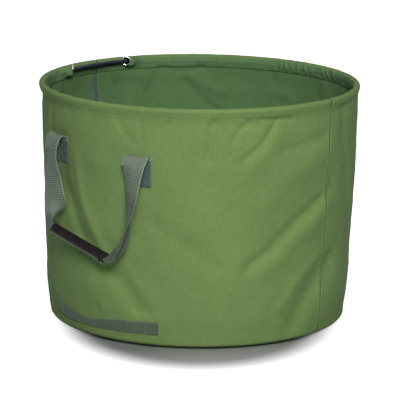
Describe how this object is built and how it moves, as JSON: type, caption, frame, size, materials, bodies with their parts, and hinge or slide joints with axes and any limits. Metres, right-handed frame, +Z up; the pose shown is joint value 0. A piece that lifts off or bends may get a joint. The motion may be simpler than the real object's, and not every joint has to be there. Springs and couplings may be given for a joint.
{
  "type": "garden waste bag",
  "caption": "Round open canvas garden waste bag held open by a hoop in its rim, with webbing carry handles that swing up and tipping straps low on the wall.",
  "frame": {"origin": "middle of the underside, on the ground", "axes": "+Z up through the open mouth, -Y towards the front handle, side seams near +X and -X"},
  "size_m": [0.6676, 0.6992, 0.49],
  "materials": {
    "canvas": "matt woven canvas, olive green",
    "base_cloth": "matt woven canvas, a little darker",
    "seam_tape": "matt woven tape, grey green",
    "hoop_tube": "smooth blue-black plastic tube",
    "joiner_plug": "smooth black plastic",
    "eyelet": "bright plated",
    "webbing": "ribbed woven webbing, grey green",
    "grip": "soft sleeve, brown-black, low sheen"
  },
  "bodies": {
    "root": {"front_wall_panel": "canvas", "back_wall_panel": "canvas", "base_panel": "base_cloth", "base_seam_binding": "seam_tape", "side_seam_binding_left": "seam_tape", "side_seam_binding_right": "seam_tape", "rim_hoop": "hoop_tube", "hoop_joiner": "joiner_plug", "eyelet_left": "eyelet", "eyelet_right": "eyelet", "front_handle_anchor_left": "webbing", "front_handle_anchor_right": "webbing", "front_dump_strap": "webbing", "back_handle_anchor_left": "webbing", "back_handle_anchor_right": "webbing", "back_dump_strap": "webbing"},
    "front_handle": {"front_handle_webbing": "webbing", "front_handle_grip": "grip"},
    "back_handle": {"back_handle_webbing": "webbing", "back_handle_grip": "grip"}
  },
  "joints": [
    {"name": "front_handle_swing", "type": "hinge", "parent": "root", "child": "front_handle", "pos_m": [0, -0.3265, 0.3995], "axis": [-0.9986, 0, 0.0534], "range_deg": [0, 165]},
    {"name": "back_handle_swing", "type": "hinge", "parent": "root", "child": "back_handle", "pos_m": [0, 0.3265, 0.3995], "axis": [0.9986, 0, 0.0534], "range_deg": [0, 165]}
  ]
}
